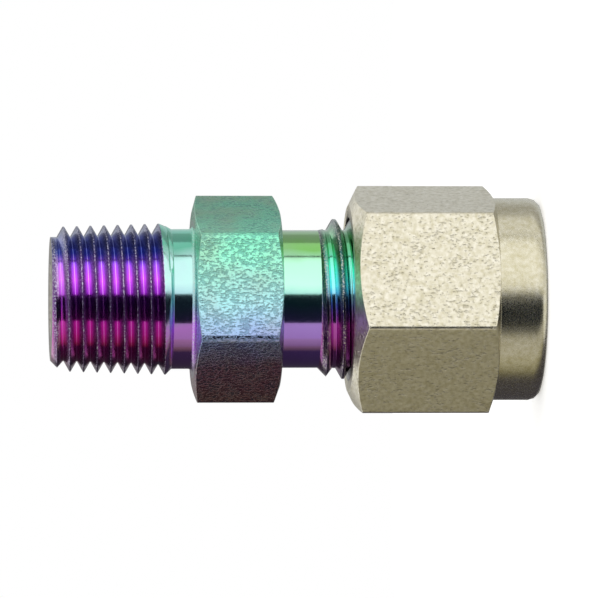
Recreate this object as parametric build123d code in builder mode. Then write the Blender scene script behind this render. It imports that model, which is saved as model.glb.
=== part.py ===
"""Compression tube fitting: a male connector for a 1/4 in tube and a 1/8-27 taper pipe thread.

Four turned pieces share the Z axis. The nut stands on its collar at z = 0, and the
connector body is screwed down into it with its pipe thread at the top. The two ferrules
lie inside the nut, between its shoulder and the mouth of the body.
"""
import os
from math import atan, ceil, cos, degrees, radians, sqrt, tan

from build123d import *

# Driving dimensions, in millimetres and degrees.

# The tube that the fitting takes, and the bore that the fluid flows through.
TUBE_DIAMETER = 6.35
FLOW_DIAMETER = 4.8
SOCKET_GAP = 0.025  # radial gap between the tube and the body's socket
FERRULE_GAP = 0.025  # radial gap between the tube and both ferrules
NUT_HOLE_GAP = 0.055  # radial gap between the tube and the nut's collar
BORE_EDGE_BREAK = 0.2  # chamfer at the open end of the flow bore
HOLE_EDGE_BREAK = 0.3  # chamfer at the open end of the nut's hole

# Both threads have flanks at this angle to the plane across the axis.
FLANK_ANGLE = 30.0

# The straight thread between the body and the nut, 7/16-20.
NUT_THREAD_DIAMETER = 11.11
NUT_THREAD_PITCH = 25.4 / 20
NUT_THREAD_DEPTH = 0.756
NUT_THREAD_CREST = 0.16  # width of the flat on each crest
NUT_THREAD_RISE = 0.54  # from the body's tube end up to a crest on the +X side
THREAD_RADIAL_GAP = 0.09  # between the body's roots and the nut's crests
THREAD_FLANK_GAP = 0.05  # along the axis, on each flank

# The taper pipe thread, 1/8-27.
PIPE_THREAD_DIAMETER = 9.99  # over the crests at the small end
PIPE_THREAD_PITCH = 25.4 / 27
PIPE_THREAD_TAPER = 1 / 16  # change of diameter along the axis
PIPE_THREAD_CREST = 0.07
PIPE_THREAD_DROP = 0.87  # from the pipe end down to a crest on the +X side
PIPE_THREAD_RUNOUT = 0.75  # turns in which the groove rises out of the body near the neck
PIPE_END_CHAMFER = 0.7

# The connector body, from its tube end up.
TUBE_END_LENGTH = 8.16  # from the tube end to the hexagon
TUBE_END_CHAMFER = 0.95
TUBE_NECK_DIAMETER = 9.56
TUBE_NECK_LENGTH = 2.7
BODY_HEX_ACROSS = 12.7
BODY_HEX_HEIGHT = 5.97
BODY_HEX_CORNER = 0.6  # rounding along its six edges
BODY_HEX_RIM = 12.4  # diameter of the flat ring on both ends of the hexagon
BODY_HEX_LOW_ANGLE = 20.0
BODY_HEX_HIGH_ANGLE = 15.0
PIPE_NECK_DIAMETER = 9.7
PIPE_NECK_LENGTH = 1.5
PIPE_NECK_ROUNDING = 0.6  # where the neck meets the hexagon
PIPE_NECK_STEP = 0.22  # height of the cone between the neck and the pipe thread
PIPE_THREAD_LENGTH = 8.36
MOUTH_LAND = 0.5  # flat ring between the end's chamfer and the cone of the mouth
MOUTH_ANGLE = 20.0  # of the cone that the front ferrule seats in
SOCKET_DEPTH = 8.4  # from the tube end to the stop that the tube meets

# The nut, from its collar up.
NUT_HEIGHT = 13.3
NUT_HEX_ACROSS = 14.2875
NUT_HEX_CORNER = 0.35  # rounding along its six edges
NUT_HEX_TURN = 8.5  # of its flats about Z, against the flats of the body
NUT_HEX_LOW_RIM = 14.3
NUT_HEX_LOW_ANGLE = 20.0
NUT_HEX_HIGH_RIM = 13.0
NUT_HEX_HIGH_ANGLE = 26.0
COLLAR_DIAMETER = 14.05
COLLAR_HEIGHT = 3.33
COLLAR_ROUNDING = 0.8  # of the collar's open end
NUT_FLOOR = 3.3  # wall between the collar's end and the shoulder inside
NUT_CAVITY_GAP = 0.15  # radial gap between the front ferrule and the wall round it
NUT_RELIEF_START = 7.2  # height of the undercut where the nut's thread ends
NUT_MOUTH_CHAMFER = 0.8

# The ferrules, from the nut's shoulder up.
SEAT_GAP = 0.02  # between faces that rest on each other
BACK_FLANGE_GAP = 0.25  # radial gap between the back ferrule's flange and the nut
BACK_FLANGE_HEIGHT = 1.2
BACK_BARREL_WALL = 0.55
BACK_NOSE_WALL = 0.25
FLANGE_TO_FRONT_GAP = 0.2
FRONT_LENGTH = 5.1
FRONT_NOSE_WALL = 0.15
FRONT_RECESS_DEPTH = 0.8  # of the 45 degree cone that takes the back ferrule's nose
FRONT_REAR_LAND = 0.3  # flat ring round that cone

# How far the body reaches into the nut as the fitting stands, with the nut only started.
NUT_OVERLAP = 3.3

# The thread cutters.
CUT_REACH = 0.02  # how far a cutter stands out of the surface that it cuts

# A rounding is turned as two bevels. Their shared corner lies this share of the radius
# inside both of the faces that the rounding joins.
BEVEL_INSET = 1 - sqrt(0.5)

# Heights along the axis.
body_base = NUT_HEIGHT - NUT_OVERLAP
tube_thread_top = body_base + TUBE_END_LENGTH - TUBE_NECK_LENGTH
hex_bottom = body_base + TUBE_END_LENGTH
hex_top = hex_bottom + BODY_HEX_HEIGHT
pipe_neck_top = hex_top + PIPE_NECK_LENGTH
body_top = pipe_neck_top + PIPE_THREAD_LENGTH
tube_stop = body_base + SOCKET_DEPTH

# Slopes: of the threads' flanks, of the pipe thread's taper, and of the body's mouth.
flank_slope = tan(radians(FLANK_ANGLE))
pipe_slope = PIPE_THREAD_TAPER / 2
mouth_slope = tan(radians(MOUTH_ANGLE))

# Radii.
socket_radius = TUBE_DIAMETER / 2 + SOCKET_GAP
ferrule_bore_radius = TUBE_DIAMETER / 2 + FERRULE_GAP
nut_hole_radius = TUBE_DIAMETER / 2 + NUT_HOLE_GAP
flow_radius = FLOW_DIAMETER / 2
tube_neck_radius = TUBE_NECK_DIAMETER / 2
pipe_neck_radius = PIPE_NECK_DIAMETER / 2
nut_thread_radius = NUT_THREAD_DIAMETER / 2
mouth_radius = nut_thread_radius - TUBE_END_CHAMFER - MOUTH_LAND
nut_thread_root = nut_thread_radius - NUT_THREAD_DEPTH
nut_bore_radius = nut_thread_root + THREAD_RADIAL_GAP
front_recess_radius = ferrule_bore_radius + FRONT_RECESS_DEPTH
front_radius = front_recess_radius + FRONT_REAR_LAND
nut_cavity_radius = front_radius + NUT_CAVITY_GAP
back_flange_radius = nut_cavity_radius - BACK_FLANGE_GAP
back_barrel_radius = ferrule_bore_radius + BACK_BARREL_WALL
back_nose_radius = ferrule_bore_radius + BACK_NOSE_WALL
pipe_end_radius = PIPE_THREAD_DIAMETER / 2


def groove_section(root_width, root_radius, mouth_radius):
    """Corners of a groove's section, as (radius, height). Without a width its root is sharp."""
    half_root = root_width / 2
    half_mouth = half_root + abs(mouth_radius - root_radius) * flank_slope
    root = [(root_radius, -half_root), (root_radius, half_root)]
    if root_width == 0:
        root = [(root_radius, 0)]
    return [(mouth_radius, -half_mouth)] + root + [(mouth_radius, half_mouth)]


def groove_piece(crossing, low, high, pitch, section, shift, cone_angle):
    """One turn at most of a groove, whose middle line climbs from height low to high.

    The section is shifted outwards at the height low, and climbs on a cone of this half
    angle. The groove crosses the +X side at the height crossing.
    """
    lead = pitch / cos(radians(cone_angle))
    edges = []
    for radius, offset in section:
        start = (0, 0, low + offset)
        edges.append(Edge.make_helix(lead, high - low, radius + shift, start, angle=cone_angle))
    faces = []
    for index, edge in enumerate(edges):
        faces.append(Face.make_surface_from_curves(edges[index - 1], edge))
    for end in (0, 1):
        faces.append(Face(Wire.make_polygon([edge @ end for edge in edges], close=True)))
    return Solid(Shell(faces)).rotate(Axis.Z, 360 * (low - crossing) / pitch)


def thread_groove(crossing, low, high, pitch, section, cone_angle=0.0, runout=0.0):
    """Cutters for a right-hand thread from height low to high, each of one turn at most.

    The section's radii hold at the height low, for a groove of full depth. With a runout,
    the groove starts clear of the surface and sinks to its full depth over that many turns.
    """
    pieces = []
    slope = tan(radians(cone_angle))
    full_depth = low + pitch * runout
    if runout:
        lift = section[0][0] - section[1][0]
        sink_angle = degrees(atan(slope - lift / (pitch * runout)))
        pieces.append(groove_piece(crossing, low, full_depth, pitch, section, lift, sink_angle))
    turns = (high - full_depth) / pitch
    rise = pitch * turns / ceil(turns)
    for index in range(ceil(turns)):
        start = full_depth + index * rise
        shift = slope * (start - low)
        pieces.append(
            groove_piece(crossing, start, start + rise, pitch, section, shift, cone_angle)
        )
    return pieces


def chamfered_hexagon(across, corner, bottom, height, turn, low, high):
    """A hexagon with rounded edges, its corners cut back by a cone at each end.

    Each end, low and high, is (diameter of its flat rim, angle of its cone).
    """
    low_rim, low_angle = low
    high_rim, high_angle = high
    low_drop = (across - low_rim / 2) * tan(radians(low_angle))
    high_drop = (across - high_rim / 2) * tan(radians(high_angle))
    with BuildPart() as block:
        with BuildSketch(Plane.XY.offset(bottom)) as section:
            RegularPolygon(across / 2, 6, major_radius=False, rotation=turn)
            fillet(section.vertices(), corner)
        extrude(amount=height)
        with BuildSketch(Plane.XZ):
            with BuildLine():
                Polyline(
                    (0, bottom),
                    (low_rim / 2, bottom),
                    (across, bottom + low_drop),
                    (across, bottom + height - high_drop),
                    (high_rim / 2, bottom + height),
                    (0, bottom + height),
                    close=True,
                )
            make_face()
        revolve(axis=Axis.Z, mode=Mode.INTERSECT)
    return block.part


# The groove between the body's threads for the nut, from below the body up past the thread.
nut_thread_root_width = NUT_THREAD_PITCH - NUT_THREAD_CREST - 2 * NUT_THREAD_DEPTH * flank_slope
nut_thread_crest_height = body_base + NUT_THREAD_RISE
body_groove = thread_groove(
    crossing=nut_thread_crest_height + NUT_THREAD_PITCH / 2,
    low=body_base - NUT_THREAD_PITCH / 2,
    high=tube_thread_top + NUT_THREAD_PITCH / 2,
    pitch=NUT_THREAD_PITCH,
    section=groove_section(
        nut_thread_root_width,
        nut_thread_root,
        nut_thread_radius + CUT_REACH,
    ),
)

# The nut's sharp groove follows the body's crests, wider by the gap on both flanks.
nut_groove_radius = nut_thread_radius + (NUT_THREAD_CREST / 2 + THREAD_FLANK_GAP) / flank_slope
nut_relief_top = NUT_RELIEF_START + NUT_THREAD_PITCH
nut_groove = thread_groove(
    crossing=nut_thread_crest_height,
    low=NUT_RELIEF_START + NUT_THREAD_PITCH / 2,
    high=NUT_HEIGHT + NUT_THREAD_PITCH / 2,
    pitch=NUT_THREAD_PITCH,
    section=groove_section(0, nut_groove_radius, nut_bore_radius - CUT_REACH),
)

# The pipe thread's sharp groove tapers towards the pipe end and runs out at the neck.
pipe_thread_base = pipe_neck_top + PIPE_NECK_STEP
pipe_base_radius = pipe_end_radius + pipe_slope * (body_top - pipe_thread_base)
pipe_thread_depth = (PIPE_THREAD_PITCH - PIPE_THREAD_CREST) / 2 / flank_slope
pipe_groove = thread_groove(
    crossing=body_top - PIPE_THREAD_DROP + PIPE_THREAD_PITCH / 2,
    low=pipe_thread_base,
    high=body_top + PIPE_THREAD_PITCH / 2,
    pitch=PIPE_THREAD_PITCH,
    section=groove_section(
        0,
        pipe_base_radius - pipe_thread_depth,
        pipe_base_radius + CUT_REACH,
    ),
    cone_angle=-degrees(atan(pipe_slope)),
    runout=PIPE_THREAD_RUNOUT,
)

# The connector body's hexagon has its flats square to Y.
body_hexagon = chamfered_hexagon(
    BODY_HEX_ACROSS,
    BODY_HEX_CORNER,
    hex_bottom,
    BODY_HEX_HEIGHT,
    turn=0,
    low=(BODY_HEX_RIM, BODY_HEX_LOW_ANGLE),
    high=(BODY_HEX_RIM, BODY_HEX_HIGH_ANGLE),
)

# The connector body: tube socket and nut thread below the hexagon, pipe thread above it.
hex_middle = hex_bottom + BODY_HEX_HEIGHT / 2
neck_cone = nut_thread_radius - tube_neck_radius
mouth_depth = (mouth_radius - socket_radius) / mouth_slope
neck_round_radius = pipe_neck_radius + PIPE_NECK_ROUNDING
neck_round_inset = BEVEL_INSET * PIPE_NECK_ROUNDING
with BuildPart() as connector_body:
    with BuildSketch(Plane.XZ):
        with BuildLine():
            Polyline(
                (0, body_base),
                (nut_thread_radius - TUBE_END_CHAMFER, body_base),
                (nut_thread_radius, body_base + TUBE_END_CHAMFER),
                (nut_thread_radius, tube_thread_top - neck_cone),
                (tube_neck_radius, tube_thread_top),
                (tube_neck_radius, hex_middle),
                (neck_round_radius, hex_middle),
                (neck_round_radius, hex_top),
                (pipe_neck_radius + neck_round_inset, hex_top + neck_round_inset),
                (pipe_neck_radius, hex_top + PIPE_NECK_ROUNDING),
                (pipe_neck_radius, pipe_neck_top),
                (pipe_base_radius, pipe_thread_base),
                (pipe_end_radius, body_top),
                (0, body_top),
                close=True,
            )
        make_face()
    revolve(axis=Axis.Z)
    pipe_end = connector_body.faces().sort_by(Axis.Z)[-1]
    chamfer(pipe_end.edges(), PIPE_END_CHAMFER)
    add(body_hexagon)
    with BuildSketch(Plane.XZ):
        with BuildLine():
            Polyline(
                (0, body_base),
                (mouth_radius, body_base),
                (socket_radius, body_base + mouth_depth),
                (socket_radius, tube_stop),
                (flow_radius, tube_stop),
                (flow_radius, body_top - BORE_EDGE_BREAK),
                (flow_radius + BORE_EDGE_BREAK, body_top),
                (0, body_top),
                close=True,
            )
        make_face()
    revolve(axis=Axis.Z, mode=Mode.SUBTRACT)
    add(body_groove, mode=Mode.SUBTRACT)
    add(pipe_groove, mode=Mode.SUBTRACT)
connector_body.part.label = "connector_body"

# The nut: a collar with the tube's hole below the hexagon, and the thread open at the top.
nut_hexagon = chamfered_hexagon(
    NUT_HEX_ACROSS,
    NUT_HEX_CORNER,
    COLLAR_HEIGHT,
    NUT_HEIGHT - COLLAR_HEIGHT,
    turn=NUT_HEX_TURN,
    low=(NUT_HEX_LOW_RIM, NUT_HEX_LOW_ANGLE),
    high=(NUT_HEX_HIGH_RIM, NUT_HEX_HIGH_ANGLE),
)
relief_radius = nut_groove_radius + CUT_REACH
relief_cone = relief_radius - nut_bore_radius
collar_radius = COLLAR_DIAMETER / 2
collar_inset = BEVEL_INSET * COLLAR_ROUNDING
with BuildPart() as nut:
    with BuildSketch(Plane.XZ):
        with BuildLine():
            Polyline(
                (0, 0),
                (collar_radius - COLLAR_ROUNDING, 0),
                (collar_radius - collar_inset, collar_inset),
                (collar_radius, COLLAR_ROUNDING),
                (collar_radius, COLLAR_HEIGHT),
                (0, COLLAR_HEIGHT),
                close=True,
            )
        make_face()
    revolve(axis=Axis.Z)
    add(nut_hexagon)
    with BuildSketch(Plane.XZ):
        with BuildLine():
            Polyline(
                (0, 0),
                (nut_hole_radius + HOLE_EDGE_BREAK, 0),
                (nut_hole_radius, HOLE_EDGE_BREAK),
                (nut_hole_radius, NUT_FLOOR),
                (nut_cavity_radius, NUT_FLOOR),
                (nut_cavity_radius, NUT_RELIEF_START),
                (relief_radius, NUT_RELIEF_START),
                (relief_radius, nut_relief_top),
                (nut_bore_radius, nut_relief_top + relief_cone),
                (nut_bore_radius, NUT_HEIGHT - NUT_MOUTH_CHAMFER),
                (nut_bore_radius + NUT_MOUTH_CHAMFER, NUT_HEIGHT),
                (0, NUT_HEIGHT),
                close=True,
            )
        make_face()
    revolve(axis=Axis.Z, mode=Mode.SUBTRACT)
    add(nut_groove, mode=Mode.SUBTRACT)
nut.part.label = "nut"

# The back ferrule: a flange on the nut's shoulder, and a nose that wedges into the front one.
back_base = NUT_FLOOR + SEAT_GAP
back_flange_top = back_base + BACK_FLANGE_HEIGHT
front_base = back_flange_top + FLANGE_TO_FRONT_GAP
back_barrel_top = front_base + front_recess_radius - back_barrel_radius - SEAT_GAP
back_nose_top = back_barrel_top + back_barrel_radius - back_nose_radius
with BuildPart() as back_ferrule:
    with BuildSketch(Plane.XZ):
        with BuildLine():
            Polyline(
                (ferrule_bore_radius, back_base),
                (back_flange_radius, back_base),
                (back_flange_radius, back_flange_top),
                (back_barrel_radius, back_flange_top),
                (back_barrel_radius, back_barrel_top),
                (back_nose_radius, back_nose_top),
                (ferrule_bore_radius, back_nose_top),
                close=True,
            )
        make_face()
    revolve(axis=Axis.Z)
back_ferrule.part.label = "back_ferrule"

# The front ferrule: its long nose has the same cone as the mouth of the body.
front_top = front_base + FRONT_LENGTH
front_nose_radius = ferrule_bore_radius + FRONT_NOSE_WALL
front_nose_length = (front_radius - front_nose_radius) / mouth_slope
with BuildPart() as front_ferrule:
    with BuildSketch(Plane.XZ):
        with BuildLine():
            Polyline(
                (ferrule_bore_radius, front_base + FRONT_RECESS_DEPTH),
                (front_recess_radius, front_base),
                (front_radius, front_base),
                (front_radius, front_top - front_nose_length),
                (front_nose_radius, front_top),
                (ferrule_bore_radius, front_top),
                close=True,
            )
        make_face()
    revolve(axis=Axis.Z)
front_ferrule.part.label = "front_ferrule"

# How far the nut turns from where it stands: on until the nose seats in the mouth, and
# off until its thread lets go of the body.
seat_travel = body_base - front_top + (mouth_radius - front_nose_radius) / mouth_slope
print(f"nut turns {seat_travel / NUT_THREAD_PITCH * 360:.1f} degrees on to its seat")
print(f"nut turns {NUT_OVERLAP / NUT_THREAD_PITCH * 360:.1f} degrees off the thread")

os.makedirs("parts", exist_ok=True)
export_step(connector_body.part, "parts/connector_body.step")
export_step(nut.part, "parts/nut.step")
export_step(back_ferrule.part, "parts/back_ferrule.step")
export_step(front_ferrule.part, "parts/front_ferrule.step")
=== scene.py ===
"""Dresses the tube fitting: fine meshes for the body and the nut, steel and a small studio."""
from math import atan, ceil, cos, floor, pi, radians, sin, sqrt, tan

import bmesh
import bpy
from mathutils import Matrix, Vector


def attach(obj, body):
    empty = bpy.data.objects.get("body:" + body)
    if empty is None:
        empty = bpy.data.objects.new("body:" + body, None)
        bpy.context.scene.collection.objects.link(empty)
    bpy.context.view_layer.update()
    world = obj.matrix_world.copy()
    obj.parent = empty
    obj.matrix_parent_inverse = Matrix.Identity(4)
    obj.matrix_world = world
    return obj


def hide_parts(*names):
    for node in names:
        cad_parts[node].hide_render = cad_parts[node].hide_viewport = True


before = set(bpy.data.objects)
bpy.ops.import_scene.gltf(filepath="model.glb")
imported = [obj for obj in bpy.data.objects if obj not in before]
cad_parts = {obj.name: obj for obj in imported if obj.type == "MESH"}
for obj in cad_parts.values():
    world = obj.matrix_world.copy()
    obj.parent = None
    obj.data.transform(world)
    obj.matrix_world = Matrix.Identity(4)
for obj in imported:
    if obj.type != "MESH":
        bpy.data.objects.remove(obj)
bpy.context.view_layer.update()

# Sizes in millimetres and degrees. They repeat the part's own, but its sharp edges are rounded
# here, and the sharp roots of the pipe thread's and the nut's grooves are blunted.
MM = 0.001
TAN_FLANK = tan(radians(30))

FLOW_RADIUS = 2.4
SOCKET_RADIUS = 3.2
MOUTH_RADIUS = 4.105
MOUTH_TOP = 12.486
TUBE_STOP = 18.4
BORE_EDGE_BREAK = 0.2

BODY_BASE = 10.0
BODY_TOP = 33.99
TUBE_END_CHAMFER = 0.95
TUBE_THREAD_TOP = 15.46
TUBE_THREAD_RADIUS = 5.555
TUBE_THREAD_DEPTH = 0.756
TUBE_THREAD_CREST = 0.16
TUBE_THREAD_ROUNDING = 0.05
TUBE_THREAD_PITCH = 25.4 / 20
TUBE_CREST_HEIGHT = 10.54
TUBE_NECK_RADIUS = 4.78
TUBE_NECK_ROUNDING = 0.12
BODY_HEX = dict(
    across=12.7, corner=0.6, turn=30, low=18.16, high=24.13,
    low_rim=6.2, low_angle=20, high_rim=6.2, high_angle=15,
)
PIPE_NECK_RADIUS = 4.85
PIPE_NECK_TOP = 25.63
PIPE_NECK_ROUNDING = 0.6
PIPE_NECK_STEP = 0.22
PIPE_END_RADIUS = 4.995
PIPE_END_CHAMFER = 0.7
PIPE_THREAD_DEPTH = 0.72
PIPE_THREAD_CREST = 0.07
PIPE_THREAD_ROUNDING = 0.035
PIPE_THREAD_PITCH = 25.4 / 27
PIPE_THREAD_SLOPE = 1 / 32
PIPE_CREST_HEIGHT = 33.12
PIPE_RUNOUT = 0.75  # pitches over which the thread fades out towards the neck

NUT_HEIGHT = 13.3
COLLAR_HEIGHT = 3.33
COLLAR_RADIUS = 7.025
COLLAR_ROUNDING = 0.8
COLLAR_ROOT_ROUNDING = 0.06
NUT_HEX = dict(
    across=14.2875, corner=0.35, turn=38.5, low=COLLAR_HEIGHT, high=NUT_HEIGHT,
    low_rim=7.15, low_angle=20, high_rim=6.5, high_angle=26,
)
NUT_HOLE_RADIUS = 3.23
HOLE_EDGE_BREAK = 0.3
NUT_FLOOR = 3.3
NUT_CAVITY_RADIUS = 4.45
NUT_RELIEF_START = 7.2
NUT_RELIEF_RADIUS = 5.8
NUT_RELIEF_TOP = 8.47
NUT_BORE_RADIUS = 4.889
NUT_GROOVE_RADIUS = 5.76
NUT_MOUTH_CHAMFER = 0.8
NUT_GROOVE_FLAT = 0.05
NUT_GROOVE_ROUNDING = 0.03

EDGE_ROUNDING = 0.05
BORE_ROUNDING = 0.03
THREAD_BLEND = 0.04  # where a thread meets a chamfer or a cone
GUARD = 0.05  # beside each rounding, so that it doesn't bend the shading of the next face
SEAM = 0.01  # between a thread's last row and the neck's first

# Steps along each rounded corner, across each flat and round each of the six edges.
ROUNDING_STEPS = 3
FLAT_STEPS = 26
CORNER_STEPS = 8

STRAIGHT = 0.02  # radians: a corner that turns by less isn't rounded
ARC_ROOM = 0.45  # the share of its shorter side that an arc may take
GUARD_ROOM = 1.1  # the most that a guard takes, as a share of the arc's room
SPARE_TURNS = 3  # turns of rows past each end of a thread, so that all columns have as many rows
WELD_DISTANCE = 1e-7  # metres

CREST_WEAR = 0.75
RUNOUT_WEAR = 0.35

# Material slots, up the outside and down the bore.
TUBE_THREAD_SLOT, TUBE_NECK_SLOT, HEX_SLOT, PIPE_NECK_SLOT, PIPE_THREAD_SLOT, BORE_SLOT = range(6)
COLLAR_SLOT, NUT_HEX_SLOT, NUT_BORE_SLOT = range(3)


# Outlines: lists of (radius, height, wear), where wear is 1 on an edge that rubs bare. A zone
# adds the flank shade, painted shade that is 1 where a thread's flanks are painted darkest, and the
# material slot.

def rounded(corners):
    """An open outline whose inner corners (radius, height, rounding) become arcs."""
    points = [(corners[0][0], corners[0][1], 0.0)]
    for before, corner, after in zip(corners, corners[1:], corners[2:]):
        here = Vector(corner[:2])
        arriving = here - Vector(before[:2])
        leaving = Vector(after[:2]) - here
        turn = arriving.angle_signed(leaving)
        if abs(turn) < STRAIGHT or corner[2] == 0:
            points.append((*here, 0.0))
            continue
        room = ARC_ROOM * min(arriving.length, leaving.length)
        setback = min(corner[2] * tan(abs(turn) / 2), room)
        guard = min(setback + GUARD, GUARD_ROOM * room)
        radius = setback / tan(abs(turn) / 2)
        side = -1 if turn > 0 else 1
        arriving.normalize()
        leaving.normalize()
        normal = side * Vector((-arriving.y, arriving.x))
        centre = here - arriving * setback + normal * radius
        points.append((*(here - arriving * guard), 0.0))
        for step in range(ROUNDING_STEPS + 1):
            spoke = Matrix.Rotation(-turn * step / ROUNDING_STEPS, 2) @ -normal
            point = centre + spoke * radius
            points.append((point.x, point.y, sin(pi * step / ROUNDING_STEPS)))
        points.append((*(here + leaving * guard), 0.0))
    points.append((corners[-1][0], corners[-1][1], 0.0))
    return points


def hexagon_radius(angle, hexagon):
    """Distance from the axis to the rounded hexagon in this direction."""
    apothem = hexagon["across"] / 2
    corner = hexagon["corner"]
    from_flat = abs((angle - radians(hexagon["turn"]) + pi / 6) % (pi / 3) - pi / 6)
    if apothem * tan(from_flat) <= (apothem - corner) * tan(pi / 6):
        return apothem / cos(from_flat)
    from_corner = pi / 6 - from_flat
    centre = (apothem - corner) / cos(pi / 6)
    reach = sqrt(max(0, corner ** 2 - (centre * sin(from_corner)) ** 2))
    return centre * cos(from_corner) + reach


def hexagon_angles(hexagon):
    """Directions of a mesh's columns, closer together round the hexagon's six edges."""
    apothem = hexagon["across"] / 2
    half_flat = atan((apothem - hexagon["corner"]) * tan(pi / 6) / apothem)
    half_corner = pi / 6 - half_flat
    angles = []
    for side in range(6):
        middle = radians(hexagon["turn"]) + side * pi / 3
        for step in range(FLAT_STEPS):
            angles.append(middle - half_flat + 2 * half_flat * step / FLAT_STEPS)
        for step in range(CORNER_STEPS):
            angles.append(middle + half_flat + 2 * half_corner * step / CORNER_STEPS)
    return angles + [angles[0] + 2 * pi]


def hexagon_corners(angle, hexagon):
    """Corners of the outline up the hexagon, from the low rim to the high rim."""
    wall = hexagon_radius(angle, hexagon)
    low_drop = (wall - hexagon["low_rim"]) * tan(radians(hexagon["low_angle"]))
    high_drop = (wall - hexagon["high_rim"]) * tan(radians(hexagon["high_angle"]))
    return [
        (hexagon["low_rim"], hexagon["low"], EDGE_ROUNDING),
        (wall, hexagon["low"] + low_drop, EDGE_ROUNDING),
        (wall, hexagon["high"] - high_drop, EDGE_ROUNDING),
        (hexagon["high_rim"], hexagon["high"], EDGE_ROUNDING),
    ]


def thread_profile(crest, depth, pitch, rounding):
    """Half a pitch of thread as (offset from the crest, depth, wear)."""
    corners = [
        (0, 0, 0),
        (0, crest / 2, rounding),
        (depth, crest / 2 + depth * TAN_FLANK, rounding),
        (depth, pitch / 2, 0),
    ]
    profile = []
    for drop, offset, _ in rounded(corners):
        wear = CREST_WEAR if drop < rounding else 0.0
        profile.append((offset, drop, wear))
    return profile


def soft_least(first, second):
    """The lesser of two radii, eased where they cross."""
    share = max(THREAD_BLEND - abs(first - second), 0) / THREAD_BLEND
    return min(first, second) - share * share * THREAD_BLEND / 4


def thread_rows(angle, low, high, pitch, crest_height, profile):
    """Heights of the thread's rows in one direction, kept between its ends."""
    lead = crest_height + pitch * angle / (2 * pi)
    half = [offset for offset, _, _ in profile]
    offsets = [-offset for offset in half[:0:-1]] + half[:-1]
    first = floor((low - crest_height) / pitch) - SPARE_TURNS
    last = ceil((high - crest_height) / pitch) + SPARE_TURNS
    return [
        min(max(lead + turn * pitch + offset, low), high)
        for turn in range(first, last)
        for offset in offsets
    ]


def crest_offset(height, angle, pitch, crest_height):
    """Distance up from the nearest crest, half a pitch at most."""
    climb = height - crest_height - pitch * angle / (2 * pi)
    turn = floor(climb / pitch + 0.5)
    return climb - turn * pitch


def thread_drop(offset, profile):
    """Depth below the crests and wear, at this distance from the nearest crest."""
    offset = abs(offset)
    for near, far in zip(profile, profile[1:]):
        if offset <= far[0]:
            share = (offset - near[0]) / (far[0] - near[0])
            return near[1] + share * (far[1] - near[1]), near[2] + share * (far[2] - near[2])
    return profile[-1][1], profile[-1][2]


tube_profile = thread_profile(
    TUBE_THREAD_CREST, TUBE_THREAD_DEPTH, TUBE_THREAD_PITCH, TUBE_THREAD_ROUNDING
)
pipe_profile = thread_profile(
    PIPE_THREAD_CREST, PIPE_THREAD_DEPTH, PIPE_THREAD_PITCH, PIPE_THREAD_ROUNDING
)
# The nut's profile starts at the bottom of its groove, which lies over the body's crest.
nut_profile = thread_profile(
    NUT_GROOVE_FLAT, NUT_GROOVE_RADIUS - NUT_BORE_RADIUS, TUBE_THREAD_PITCH, NUT_GROOVE_ROUNDING
)


def tube_thread(angle):
    """The body's outline along the thread for the nut."""
    points = []
    rows = thread_rows(
        angle, BODY_BASE, TUBE_THREAD_TOP, TUBE_THREAD_PITCH, TUBE_CREST_HEIGHT, tube_profile
    )
    for height in rows:
        offset = crest_offset(height, angle, TUBE_THREAD_PITCH, TUBE_CREST_HEIGHT)
        drop, wear = thread_drop(offset, tube_profile)
        thread = TUBE_THREAD_RADIUS - drop
        chamfer = TUBE_THREAD_RADIUS - TUBE_END_CHAMFER + height - BODY_BASE
        cone = TUBE_NECK_RADIUS + TUBE_THREAD_TOP - height
        radius = min(soft_least(thread, chamfer), soft_least(thread, cone))
        # Painted shade: the flanks darken towards the crest, so that each root shows as a pale streak.
        points.append((radius, height, wear, 1 - drop / TUBE_THREAD_DEPTH, TUBE_THREAD_SLOT))
    return points


def pipe_thread(angle):
    """The body's outline along the pipe thread, whose groove fades out towards the neck."""
    points = []
    base = PIPE_NECK_TOP + PIPE_NECK_STEP
    rows = thread_rows(
        angle, PIPE_NECK_TOP, BODY_TOP, PIPE_THREAD_PITCH, PIPE_CREST_HEIGHT, pipe_profile
    )
    for height in rows:
        offset = crest_offset(height, angle, PIPE_THREAD_PITCH, PIPE_CREST_HEIGHT)
        drop, wear = thread_drop(offset, pipe_profile)
        root = height - offset + (PIPE_THREAD_PITCH / 2 if offset > 0 else -PIPE_THREAD_PITCH / 2)
        sunk = min(max((root - base) / (PIPE_RUNOUT * PIPE_THREAD_PITCH), 0), 1)
        drop = max(0, drop - PIPE_THREAD_DEPTH * (1 - sunk))
        crest = PIPE_END_RADIUS + PIPE_THREAD_SLOPE * (BODY_TOP - height)
        cone_slope = (crest - PIPE_NECK_RADIUS) / PIPE_NECK_STEP
        start = PIPE_NECK_RADIUS + cone_slope * (height - PIPE_NECK_TOP)
        end = PIPE_END_RADIUS - PIPE_END_CHAMFER + BODY_TOP - height
        radius = min(soft_least(crest - drop, start), soft_least(crest - drop, end))
        if sunk == 1:
            # Painted shade: the flanks darken towards the crest, so that each root shows as a pale streak.
            points.append((radius, height, wear, 1 - drop / PIPE_THREAD_DEPTH, PIPE_THREAD_SLOT))
        else:
            points.append((radius, height, RUNOUT_WEAR, 0.0, PIPE_NECK_SLOT))
    return points


def nut_thread(angle):
    """The nut's outline down its thread, from the mouth to the relief."""
    points = []
    rows = thread_rows(
        angle, NUT_RELIEF_START, NUT_HEIGHT, TUBE_THREAD_PITCH, TUBE_CREST_HEIGHT, nut_profile
    )
    for height in reversed(rows):
        offset = crest_offset(height, angle, TUBE_THREAD_PITCH, TUBE_CREST_HEIGHT)
        drop, _ = thread_drop(offset, nut_profile)
        thread = NUT_GROOVE_RADIUS - drop
        mouth = NUT_BORE_RADIUS + NUT_MOUTH_CHAMFER + height - NUT_HEIGHT
        relief = NUT_RELIEF_RADIUS + min(0, NUT_RELIEF_TOP - height)
        points.append((max(thread, mouth, relief), height, 0.0))
    return points


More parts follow.
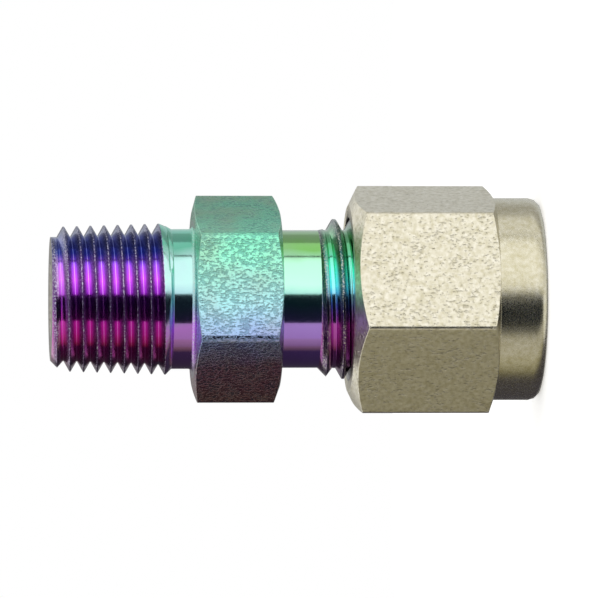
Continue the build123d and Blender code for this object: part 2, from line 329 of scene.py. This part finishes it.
def zone(points, slot):
    """Gives an outline's stretch no painted flank shade, and the material slot of its faces."""
    return [(*point, 0.0, slot) for point in points]


def body_outline(angle):
    """The body's closed outline, up the outside and down the bore."""
    below_hex = rounded([
        (TUBE_NECK_RADIUS, TUBE_THREAD_TOP + SEAM, 0),
        (TUBE_NECK_RADIUS, BODY_HEX["low"], TUBE_NECK_ROUNDING),
        (BODY_HEX["low_rim"] - 2 * GUARD, BODY_HEX["low"], 0),
    ])
    hexagon = rounded(
        [(BODY_HEX["low_rim"] - 2 * GUARD, BODY_HEX["low"], 0)]
        + hexagon_corners(angle, BODY_HEX)
        + [(PIPE_NECK_RADIUS + PIPE_NECK_ROUNDING + GUARD, BODY_HEX["high"], 0)]
    )[1:]
    above_hex = rounded([
        (PIPE_NECK_RADIUS + PIPE_NECK_ROUNDING + GUARD, BODY_HEX["high"], 0),
        (PIPE_NECK_RADIUS, BODY_HEX["high"], PIPE_NECK_ROUNDING),
        (PIPE_NECK_RADIUS, PIPE_NECK_TOP - SEAM, 0),
    ])[1:]
    # A groove may cut an end's rim, so both flat end faces start inside the threads' roots.
    inside = rounded([
        (PIPE_END_RADIUS - max(PIPE_END_CHAMFER, PIPE_THREAD_DEPTH) - GUARD, BODY_TOP, 0),
        (FLOW_RADIUS + BORE_EDGE_BREAK, BODY_TOP, BORE_ROUNDING),
        (FLOW_RADIUS, BODY_TOP - BORE_EDGE_BREAK, BORE_ROUNDING),
        (FLOW_RADIUS, TUBE_STOP, BORE_ROUNDING),
        (SOCKET_RADIUS, TUBE_STOP, BORE_ROUNDING),
        (SOCKET_RADIUS, MOUTH_TOP, BORE_ROUNDING),
        (MOUTH_RADIUS, BODY_BASE, BORE_ROUNDING),
        (TUBE_THREAD_RADIUS - max(TUBE_END_CHAMFER, TUBE_THREAD_DEPTH) - GUARD, BODY_BASE, 0),
    ])
    return (
        tube_thread(angle)
        + zone(below_hex, TUBE_NECK_SLOT)
        + zone(hexagon, HEX_SLOT)
        + zone(above_hex, PIPE_NECK_SLOT)
        + pipe_thread(angle)
        + zone(inside, BORE_SLOT)
    )


def nut_outline(angle):
    """The nut's closed outline, up the outside and down the bore."""
    end_face_start = NUT_HOLE_RADIUS + HOLE_EDGE_BREAK + 3 * GUARD
    collar = rounded([
        (end_face_start, 0, 0),
        (COLLAR_RADIUS, 0, COLLAR_ROUNDING),
        (COLLAR_RADIUS, COLLAR_HEIGHT, COLLAR_ROOT_ROUNDING),
        (NUT_HEX["low_rim"], COLLAR_HEIGHT, 0),
    ])
    hexagon = rounded(
        [(NUT_HEX["low_rim"] - GUARD, COLLAR_HEIGHT, 0)]
        + hexagon_corners(angle, NUT_HEX)
        + [(NUT_BORE_RADIUS + NUT_MOUTH_CHAMFER, NUT_HEIGHT, 0)]
    )[1:]
    inside = rounded([
        (NUT_RELIEF_RADIUS, NUT_RELIEF_START, 0),
        (NUT_CAVITY_RADIUS, NUT_RELIEF_START, BORE_ROUNDING),
        (NUT_CAVITY_RADIUS, NUT_FLOOR, BORE_ROUNDING),
        (NUT_HOLE_RADIUS, NUT_FLOOR, BORE_ROUNDING),
        (NUT_HOLE_RADIUS, HOLE_EDGE_BREAK, EDGE_ROUNDING),
        (NUT_HOLE_RADIUS + HOLE_EDGE_BREAK, 0, EDGE_ROUNDING),
        (end_face_start, 0, 0),
    ])
    return (
        zone(collar, COLLAR_SLOT)
        + zone(hexagon, NUT_HEX_SLOT)
        + zone(nut_thread(angle), NUT_BORE_SLOT)
        + zone(inside, NUT_BORE_SLOT)
    )


# Meshes.

def turned_mesh(name, outline, angles, materials):
    """A closed mesh from an outline that may change with the direction round the axis."""
    mesh = bpy.data.meshes.new(name)
    work = bmesh.new()
    wear_layer = work.verts.layers.float.new("wear")
    flank_shade_layer = work.verts.layers.float.new("flank_shade")
    columns = []
    for angle in angles:
        column = []
        for radius, height, wear, flank_shade, slot in outline(angle):
            spot = Vector((radius * cos(angle), radius * sin(angle), height)) * MM
            vertex = work.verts.new(spot)
            vertex[wear_layer] = wear
            vertex[flank_shade_layer] = flank_shade
            column.append((vertex, slot))
        columns.append(column)
    for near, far in zip(columns, columns[1:]):
        for index in range(len(near)):
            following = (index + 1) % len(near)
            corners = (near[index], far[index], far[following], near[following])
            face = work.faces.new([vertex for vertex, _ in corners])
            face.material_index = near[following][1]
            face.smooth = True
    bmesh.ops.remove_doubles(work, verts=work.verts, dist=WELD_DISTANCE)
    work.to_mesh(mesh)
    work.free()
    for material in materials:
        mesh.materials.append(material)
    piece = bpy.data.objects.new(name, mesh)
    bpy.context.scene.collection.objects.link(piece)
    weighted = piece.modifiers.new("weighted_normals", "WEIGHTED_NORMAL")
    weighted.keep_sharp = True
    return piece


# Materials. A noise's scale is in features a metre, and the depth of relief is in metres.

SWAY = 0.012  # how far the edges of the tints wander, as a share of a whole turn
SWAY_SCALE = 260.0
CAST_SCALE = 380.0
TINT_GRAIN_SCALE = 7000.0
TINT_ROUGHNESS_SPREAD = 0.12
# Painted shade on the thread flanks near the crests: how strong it is, and its dark colour.
FLANK_SHADE_STRENGTH = 0.8
FLANK_SHADE_COLOUR = "161a44"
RUB_SCALE = 9000.0
RUB_STRENGTH = 0.8
RUB_ROUGHNESS = 0.18

STEEL_PATCH_SCALE = 3200.0
STEEL_GRAIN_SCALE = 8000.0
STEEL_ROUGHNESS_SPREAD = 0.2
TURNING_SCALE = 300.0
TURNING_STRETCH = (1, 1, 60)
TURNING_STRENGTH = 0.6

PIT_STRETCH = (1, 1, 0.6)
PIT_EDGE = 0.06
PIT_STRENGTH = 0.9
PIT_CROWDING = 0.3
CROWD_SIZE = 9  # times as wide as a pit
SCRATCH_SCALE = 9000.0
SCRATCH_STRETCH = (1, 1, 0.05)
SCRATCH_STRENGTH = 0.6
SCRATCH_DEPTH = 0.25  # of a pit's depth
# The last two entries paint shade inside the pits: its colour and how strong it is.
BODY_PITS = dict(scale=7000.0, share=0.47, depth=18e-6, pit_shade="2f6a78", pit_shade_strength=0.4)
NUT_PITS = dict(scale=6500.0, share=0.37, depth=14e-6, pit_shade="6e6444", pit_shade_strength=0.3)


def linear(code):
    """Scene colour of an sRGB code such as "8fd0c0"."""
    channels = [int(code[start:start + 2], 16) / 255 for start in (0, 2, 4)]
    return (*[c / 12.92 if c <= 0.04045 else ((c + 0.055) / 1.055) ** 2.4 for c in channels], 1)


class Graph:
    """Node tree of one material, with helpers that add and link its nodes."""

    def __init__(self, name):
        self.material = bpy.data.materials.new(name)
        self.material.use_nodes = True
        self.nodes = self.material.node_tree.nodes
        self.links = self.material.node_tree.links
        self.shader = self.nodes["Principled BSDF"]
        self.position = self.add("ShaderNodeTexCoord").outputs["Object"]

    def add(self, kind, inputs=(), **settings):
        node = self.nodes.new(kind)
        for key, value in settings.items():
            setattr(node, key, value)
        for key, value in dict(inputs).items():
            self.plug(node.inputs[key], value)
        return node

    def plug(self, socket, value):
        if isinstance(value, bpy.types.NodeSocket):
            self.links.new(value, socket)
        else:
            socket.default_value = value

    def math(self, operation, *values):
        node = self.add("ShaderNodeMath", operation=operation)
        for socket, value in zip(node.inputs, values):
            self.plug(socket, value)
        return node.outputs[0]

    def remap(self, value, low, high, new_low=0.0, new_high=1.0):
        inputs = {"Value": value, "From Min": low, "From Max": high, "To Min": new_low, "To Max": new_high}
        return self.add("ShaderNodeMapRange", inputs).outputs["Result"]

    def noise(self, scale, detail=2.0, stretch=(1, 1, 1)):
        """Noise with features of about 1 / scale metres."""
        mapping = self.add("ShaderNodeMapping", {"Vector": self.position, "Scale": stretch})
        inputs = {"Vector": mapping.outputs[0], "Scale": scale, "Detail": detail}
        return self.add("ShaderNodeTexNoise", inputs).outputs[0]

    def pits(self, scale, share):
        """Ragged pits, crowded in some places: 1 on the surface and 0 at the bottom of each."""
        crowding = self.math("MULTIPLY", self.noise(scale / CROWD_SIZE), PIT_CROWDING)
        field = self.math("ADD", self.noise(scale, 3.0, PIT_STRETCH), crowding)
        edge = share + PIT_CROWDING / 2
        return self.remap(field, edge - PIT_EDGE, edge + PIT_EDGE)

    def attribute(self, name):
        return self.add("ShaderNodeAttribute", attribute_name=name).outputs["Fac"]

    def mix(self, share, first, second):
        node = self.add("ShaderNodeMix", data_type="RGBA")
        self.plug(node.inputs["Factor"], share)
        self.plug(node.inputs["A"], first)
        self.plug(node.inputs["B"], second)
        return node.outputs["Result"]

    def ramp(self, value, stops):
        node = self.add("ShaderNodeValToRGB", {"Fac": value})
        elements = node.color_ramp.elements
        while len(elements) < len(stops):
            elements.new(1.0)
        for element, (place, code) in zip(elements, stops):
            element.position = place
            element.color = linear(code)
        return node.outputs["Color"]

    def bearing(self):
        """Direction round the axis from -Y towards +X, 0 to 1, with 0.5 at -Y and some sway."""
        split = self.add("ShaderNodeSeparateXYZ", {"Vector": self.position})
        back = self.math("MULTIPLY", split.outputs["Y"], -1.0)
        turn = self.math("ARCTAN2", split.outputs["X"], back)
        share = self.math("MULTIPLY_ADD", turn, 0.5 / pi, 0.5)
        shift = self.remap(self.noise(SWAY_SCALE), 0.3, 0.7, -SWAY, SWAY)
        return self.math("ADD", share, shift)

    def bump(self, height, depth, strength=1.0, below=None):
        inputs = {"Height": height, "Distance": depth, "Strength": strength}
        if below:
            inputs["Normal"] = below
        return self.add("ShaderNodeBump", inputs).outputs["Normal"]

    def pitted(self, colour, relief, scale, share, depth, pit_shade, pit_shade_strength):
        """Colour and relief with pits that are painted dark inside as shade, and fine scratches along the
        axis.
        """
        pits = self.pits(scale, share)
        # Painted shade inside each pit.
        pit_shading = self.remap(pits, 0.0, 1.0, pit_shade_strength, 0.0)
        colour = self.mix(pit_shading, colour, linear(pit_shade))
        scratches = self.noise(SCRATCH_SCALE, 2.0, SCRATCH_STRETCH)
        relief = self.bump(scratches, depth * SCRATCH_DEPTH, SCRATCH_STRENGTH, relief)
        return colour, self.bump(pits, depth, PIT_STRENGTH, relief)

    def steel(self, colour, roughness, normal):
        self.plug(self.shader.inputs["Base Color"], colour)
        self.shader.inputs["Metallic"].default_value = 1.0
        self.plug(self.shader.inputs["Roughness"], roughness)
        self.plug(self.shader.inputs["Normal"], normal)
        return self.material


def bearing_stops(colours):
    """Ramp stops from (degrees from -Y towards +X, colour code), closed behind the part."""
    stops = [((degree + 180) / 360, code) for degree, code in colours]
    return [(0.0, stops[-1][1])] + stops + [(1.0, stops[-1][1])]


def tinted_and_shaded_steel(name, tint_and_shading, roughness, grain, rubbed, cast="b9a6d8", cast_strength=0.1, pits=None):
    """Heat-tinted steel with painted light: its colour goes round the axis, paler where the brightest
    panel's highlight falls and darker round the -X side and the back; its thread flanks carry painted
    shade, and it is rubbed on its edges.
    """
    graph = Graph(name)
    # The ramp paints light over the heat tint: paler where the brightest panel's highlight falls, darker
    # round the -X side and the back.
    colour = graph.ramp(graph.bearing(), bearing_stops(tint_and_shading))
    patches = graph.remap(graph.noise(CAST_SCALE, 3.0), 0.4, 0.65, 0.0, cast_strength)
    colour = graph.mix(patches, colour, linear(cast))
    # Painted shade: darkens the thread flanks towards the crests.
    flank_shade = graph.remap(graph.attribute("flank_shade"), 0.2, 0.85, 0.0, FLANK_SHADE_STRENGTH)
    colour = graph.mix(flank_shade, colour, linear(FLANK_SHADE_COLOUR))
    worn = graph.attribute("wear")
    speckle = graph.remap(graph.noise(RUB_SCALE, 3.0), 0.47, 0.66)
    bare = graph.math("MULTIPLY", worn, speckle)
    colour = graph.mix(graph.math("MULTIPLY", bare, RUB_STRENGTH), colour, linear(rubbed))
    fine = graph.noise(TINT_GRAIN_SCALE, 5.0)
    smoothest = roughness - TINT_ROUGHNESS_SPREAD / 2
    rough = graph.math("MULTIPLY_ADD", fine, TINT_ROUGHNESS_SPREAD, smoothest)
    rough = graph.math("MULTIPLY_ADD", worn, RUB_ROUGHNESS, rough)
    relief = graph.bump(fine, grain)
    if pits:
        colour, relief = graph.pitted(colour, relief, **pits)
    return graph.steel(colour, rough, relief)


def plain_steel(name, light, dark, roughness, grain, pits=None, turned=0.0):
    """Stainless steel, blasted or turned, with darker patches."""
    graph = Graph(name)
    patches = graph.remap(graph.noise(STEEL_PATCH_SCALE, 5.0), 0.3, 0.7)
    colour = graph.mix(patches, linear(dark), linear(light))
    fine = graph.noise(STEEL_GRAIN_SCALE, 5.0)
    smoothest = roughness - STEEL_ROUGHNESS_SPREAD / 2
    rough = graph.math("MULTIPLY_ADD", fine, STEEL_ROUGHNESS_SPREAD, smoothest)
    relief = graph.bump(fine, grain)
    if pits:
        colour, relief = graph.pitted(colour, relief, **pits)
    if turned:
        lines = graph.noise(TURNING_SCALE, 4.0, TURNING_STRETCH)
        relief = graph.bump(lines, turned, TURNING_STRENGTH, relief)
    return graph.steel(colour, rough, relief)


# Heat tints with painted light in them, as (degrees from -Y towards +X, colour code): paler where the
# brightest panel's highlight falls, and darker round the -X side and the back.

PIPE_THREAD_TINT_AND_SHADING = [(-150, "7d6bb5"), (-95, "a0526e"), (-52, "e064c4"), (-30, "ec7ce0"), (-12, "b868d0"),
                    (10, "f0aaff"), (25, "deaaff"), (38, "5a68b8"), (75, "4c5a98"), (120, "77a8c0")]
PIPE_NECK_TINT_AND_SHADING = [(-150, "7d6bb5"), (-95, "6c4a68"), (-52, "b078cc"), (-30, "cc84f0"), (-12, "8fb8c8"),
                  (5, "b8e8e0"), (25, "b4e4dc"), (38, "62bc9c"), (75, "7adcbc"), (120, "77a8a0")]
HEX_TINT_AND_SHADING = [(-150, "6b4a6b"), (-90, "8c5c5c"), (-55, "94667c"), (-32, "a0aee8"), (-10, "b0e6ec"),
            (20, "9efad6"), (32, "8ee8c4"), (60, "74caa6"), (100, "72b896"), (140, "6b7a8b")]
TUBE_NECK_TINT_AND_SHADING = [(-150, "7d6bb5"), (-95, "6c4a78"), (-52, "ac7ce0"), (-30, "c49cff"), (-12, "6fb8b8"),
                  (5, "b8f4d8"), (25, "b0f0cc"), (38, "85c86e"), (75, "94bc8a"), (120, "8a9080")]
TUBE_THREAD_TINT_AND_SHADING = [(-150, "8d6bb5"), (-95, "8a4a80"), (-52, "b04aa8"), (-30, "c860c0"), (-12, "7080c8"),
                    (5, "90f0f4"), (20, "7cf4d8"), (40, "60c888"), (75, "78a078"), (120, "90b8a0")]

bore_steel = plain_steel("bore_steel", "a8a49c", "8c8880", roughness=0.3, grain=2e-6, turned=6e-6)
body_materials = [
    tinted_and_shaded_steel("tube_thread_tint_and_shade", TUBE_THREAD_TINT_AND_SHADING, roughness=0.1, grain=6e-7, rubbed="e8e2d0"),
    tinted_and_shaded_steel("tube_neck_tint_and_shade", TUBE_NECK_TINT_AND_SHADING, roughness=0.12, grain=4e-7, rubbed="c8d8d0"),
    tinted_and_shaded_steel(
        "hexagon_tint_and_shade", HEX_TINT_AND_SHADING, roughness=0.22, grain=3e-6, rubbed="d8f0e0",
        cast="a89c8c", cast_strength=0.35, pits=BODY_PITS,
    ),
    tinted_and_shaded_steel("pipe_neck_tint_and_shade", PIPE_NECK_TINT_AND_SHADING, roughness=0.12, grain=4e-7, rubbed="c8d8d0"),
    tinted_and_shaded_steel("pipe_thread_tint_and_shade", PIPE_THREAD_TINT_AND_SHADING, roughness=0.1, grain=6e-7, rubbed="e0dcf0"),
    bore_steel,
]
nut_materials = [
    plain_steel("collar_steel", "dcd7c2", "c4bd9e", roughness=0.27, grain=1e-6, turned=2e-6),
    plain_steel(
        "nut_hexagon_steel", "ece7d6", "cbc4a8", roughness=0.31, grain=5e-6, pits=NUT_PITS,
    ),
    bore_steel,
]
ferrule_steel = plain_steel(
    "ferrule_steel", "c0bdb4", "a8a59c", roughness=0.25, grain=2e-6, turned=8e-6,
)


# Pieces.

body = turned_mesh("connector_body_skin", body_outline, hexagon_angles(BODY_HEX), body_materials)
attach(body, "connector_body")
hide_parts("connector_body")

nut = turned_mesh("nut_skin", nut_outline, hexagon_angles(NUT_HEX), nut_materials)
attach(nut, "nut")
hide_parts("nut")

for name in ("front_ferrule", "back_ferrule"):
    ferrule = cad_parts[name]
    ferrule.data.materials.clear()
    ferrule.data.materials.append(ferrule_steel)


# The studio, in metres. Panels stand round the part and the camera, and reach below the floor.

STUDIO_RADIUS = 0.7
STUDIO_LOW = -1.5
STUDIO_HIGH = 0.3
PANEL_STEP = 6  # degrees
FLOOR_RADIUS = 0.12
FLOOR_SIDES = 96
FLOOR_TONE = 0.9
FLOOR_ROUGHNESS = 0.8
FLOOR_LIFT = 0.5  # added for the camera only
ROOM_TONE = 0.8
VIEW_BEARING = -7.5  # degrees from -Y towards +X

# Each panel's two bearings from the camera towards +X, how bright it is and its colour.
PANELS = [
    (8, 74, 1.3, "ffffff"),
    (74, 77, 0.02, "ffffff"),
    (77, 108, 1.0, "ffffff"),
    (108, 138, 0.5, "ffffff"),
    (138, 172, 0.74, "f6faff"),
    (172, 195, 0.3, "ffffff"),
    (195, 264, 0.08, "f0e8ff"),
    (264, 269, 0.2, "fff6c4"),
    (269, 274, 0.32, "fff6c4"),
    (274, 279, 0.42, "fff9dc"),
    (279, 285, 0.49, "fff9dc"),
    (285, 290, 0.55, "fff9dc"),
    (290, 320, 0.6, "fffbf0"),
    (320, 368, 0.025, "c8dcff"),
]


def glow_material(name, strength, tone):
    """A surface that only gives light."""
    material = bpy.data.materials.new(name)
    material.use_nodes = True
    nodes = material.node_tree.nodes
    nodes.clear()
    glow = nodes.new("ShaderNodeEmission")
    glow.inputs["Color"].default_value = linear(tone)
    glow.inputs["Strength"].default_value = strength
    output = nodes.new("ShaderNodeOutputMaterial")
    material.node_tree.links.new(glow.outputs[0], output.inputs["Surface"])
    return material


def add_panel(first, last, strength, tone):
    """A curved wall of light, which the camera doesn't see."""
    mesh = bpy.data.meshes.new("panel")
    work = bmesh.new()
    steps = max(1, round((last - first) / PANEL_STEP))
    rails = []
    for step in range(steps + 1):
        bearing = radians(VIEW_BEARING + first + (last - first) * step / steps)
        x = STUDIO_RADIUS * sin(bearing)
        y = -STUDIO_RADIUS * cos(bearing)
        rails.append([work.verts.new((x, y, z)) for z in (STUDIO_LOW, STUDIO_HIGH)])
    for near, far in zip(rails, rails[1:]):
        work.faces.new((near[0], near[1], far[1], far[0]))
    work.to_mesh(mesh)
    work.free()
    mesh.materials.append(glow_material("panel_glow", strength, tone))
    panel = bpy.data.objects.new("panel", mesh)
    panel.visible_camera = False
    bpy.context.scene.collection.objects.link(panel)


def add_floor():
    """A plain pale floor that takes a shadow and isn't reflected."""
    mesh = bpy.data.meshes.new("floor")
    work = bmesh.new()
    bmesh.ops.create_circle(work, cap_ends=True, segments=FLOOR_SIDES, radius=FLOOR_RADIUS)
    work.to_mesh(mesh)
    work.free()
    material = bpy.data.materials.new("floor_white")
    material.use_nodes = True
    nodes = material.node_tree.nodes
    links = material.node_tree.links
    shader = nodes["Principled BSDF"]
    shader.inputs["Base Color"].default_value = (FLOOR_TONE, FLOOR_TONE, FLOOR_TONE, 1)
    shader.inputs["Roughness"].default_value = FLOOR_ROUGHNESS
    shader.inputs["Specular IOR Level"].default_value = 0.0
    shader.inputs["Emission Color"].default_value = (1, 1, 1, 1)
    path = nodes.new("ShaderNodeLightPath")
    lift = nodes.new("ShaderNodeMath")
    lift.operation = "MULTIPLY"
    lift.inputs[1].default_value = FLOOR_LIFT
    links.new(path.outputs["Is Camera Ray"], lift.inputs[0])
    links.new(lift.outputs[0], shader.inputs["Emission Strength"])
    mesh.materials.append(material)
    ground = bpy.data.objects.new("floor", mesh)
    ground.visible_glossy = False
    bpy.context.scene.collection.objects.link(ground)


def add_world():
    """White for the camera and for reflections, and a plain light grey for diffuse light."""
    world = bpy.data.worlds.new("world")
    bpy.context.scene.world = world
    world.use_nodes = True
    nodes = world.node_tree.nodes
    links = world.node_tree.links
    path = nodes.new("ShaderNodeLightPath")
    seen = path.outputs["Is Camera Ray"]
    for kind in ("Is Glossy Ray", "Is Transmission Ray"):
        either = nodes.new("ShaderNodeMath")
        either.operation = "MAXIMUM"
        links.new(seen, either.inputs[0])
        links.new(path.outputs[kind], either.inputs[1])
        seen = either.outputs[0]
    mix = nodes.new("ShaderNodeMix")
    mix.data_type = "RGBA"
    mix.inputs["A"].default_value = (ROOM_TONE, ROOM_TONE, ROOM_TONE, 1)
    mix.inputs["B"].default_value = (1, 1, 1, 1)
    links.new(seen, mix.inputs["Factor"])
    links.new(mix.outputs["Result"], nodes["Background"].inputs["Color"])


# The camera looks a little down at the standing part, and is rolled so that the part's pipe
# end points to the left of the picture.

IMAGE_WIDTH = 598
PIXELS_PER_METRE = 14400
CAMERA_DISTANCE = 0.472
CAMERA_ELEVATION = radians(4.1)
VIEW_CENTRE = Vector((0, 0, 0.01672))


def add_camera():
    """The photograph's view, with an upright part lying on its side."""
    bearing = radians(VIEW_BEARING)
    back = Vector((
        sin(bearing) * cos(CAMERA_ELEVATION),
        -cos(bearing) * cos(CAMERA_ELEVATION),
        sin(CAMERA_ELEVATION),
    ))
    up = Vector((cos(bearing), sin(bearing), 0))
    right = up.cross(back)
    data = bpy.data.cameras.new("camera")
    data.sensor_width = 36
    data.lens = PIXELS_PER_METRE * CAMERA_DISTANCE * data.sensor_width / IMAGE_WIDTH
    camera = bpy.data.objects.new("camera", data)
    turn = Matrix((right, up, back)).transposed()
    camera.matrix_world = Matrix.Translation(VIEW_CENTRE + back * CAMERA_DISTANCE) @ turn.to_4x4()
    bpy.context.scene.collection.objects.link(camera)
    bpy.context.scene.camera = camera


for panel in PANELS:
    add_panel(*panel)
add_floor()
add_world()
add_camera()
bpy.context.scene.view_settings.view_transform = "Standard"
